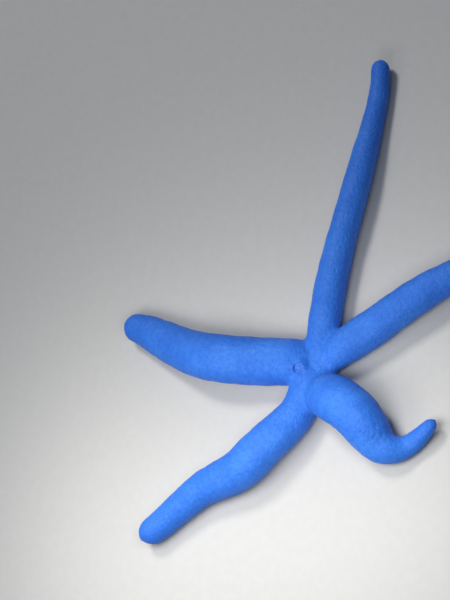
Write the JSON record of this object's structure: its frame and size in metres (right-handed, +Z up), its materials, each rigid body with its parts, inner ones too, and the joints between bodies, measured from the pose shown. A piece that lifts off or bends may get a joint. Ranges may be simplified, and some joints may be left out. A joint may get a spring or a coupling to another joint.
{
  "type": "blue sea star model",
  "caption": "Still life-size model of a blue sea star lying on the floor, its slender rounded arms spread and bent, one curled under with an upturned tip.",
  "frame": {"origin": "on the floor, under the middle of the model's bounding box", "axes": "+Z up from the floor the star lies on, +Y along the reach of the longest arm, +X towards the arm on the right"},
  "size_m": [0.2158, 0.2306, 0.0256],
  "materials": {
    "skin_disc": "matte",
    "skin_top": "matte",
    "skin_right": "matte",
    "skin_curled": "matte",
    "skin_lower": "matte",
    "skin_left": "matte",
    "madreporite": "matte",
    "mouth_membrane": "matte"
  },
  "bodies": {
    "root": {"disc": "skin_disc", "arm_top_base": "skin_top", "arm_top_middle": "skin_top", "arm_top_tip": "skin_top", "arm_right_base": "skin_right", "arm_right_middle": "skin_right", "arm_right_tip": "skin_right", "arm_curled_base": "skin_curled", "arm_curled_middle": "skin_curled", "arm_curled_tip": "skin_curled", "arm_lower_base": "skin_lower", "arm_lower_middle": "skin_lower", "arm_lower_tip": "skin_lower", "arm_left_base": "skin_left", "arm_left_middle": "skin_left", "arm_left_tip": "skin_left", "madreporite": "madreporite", "mouth": "mouth_membrane"}
  },
  "joints": []
}
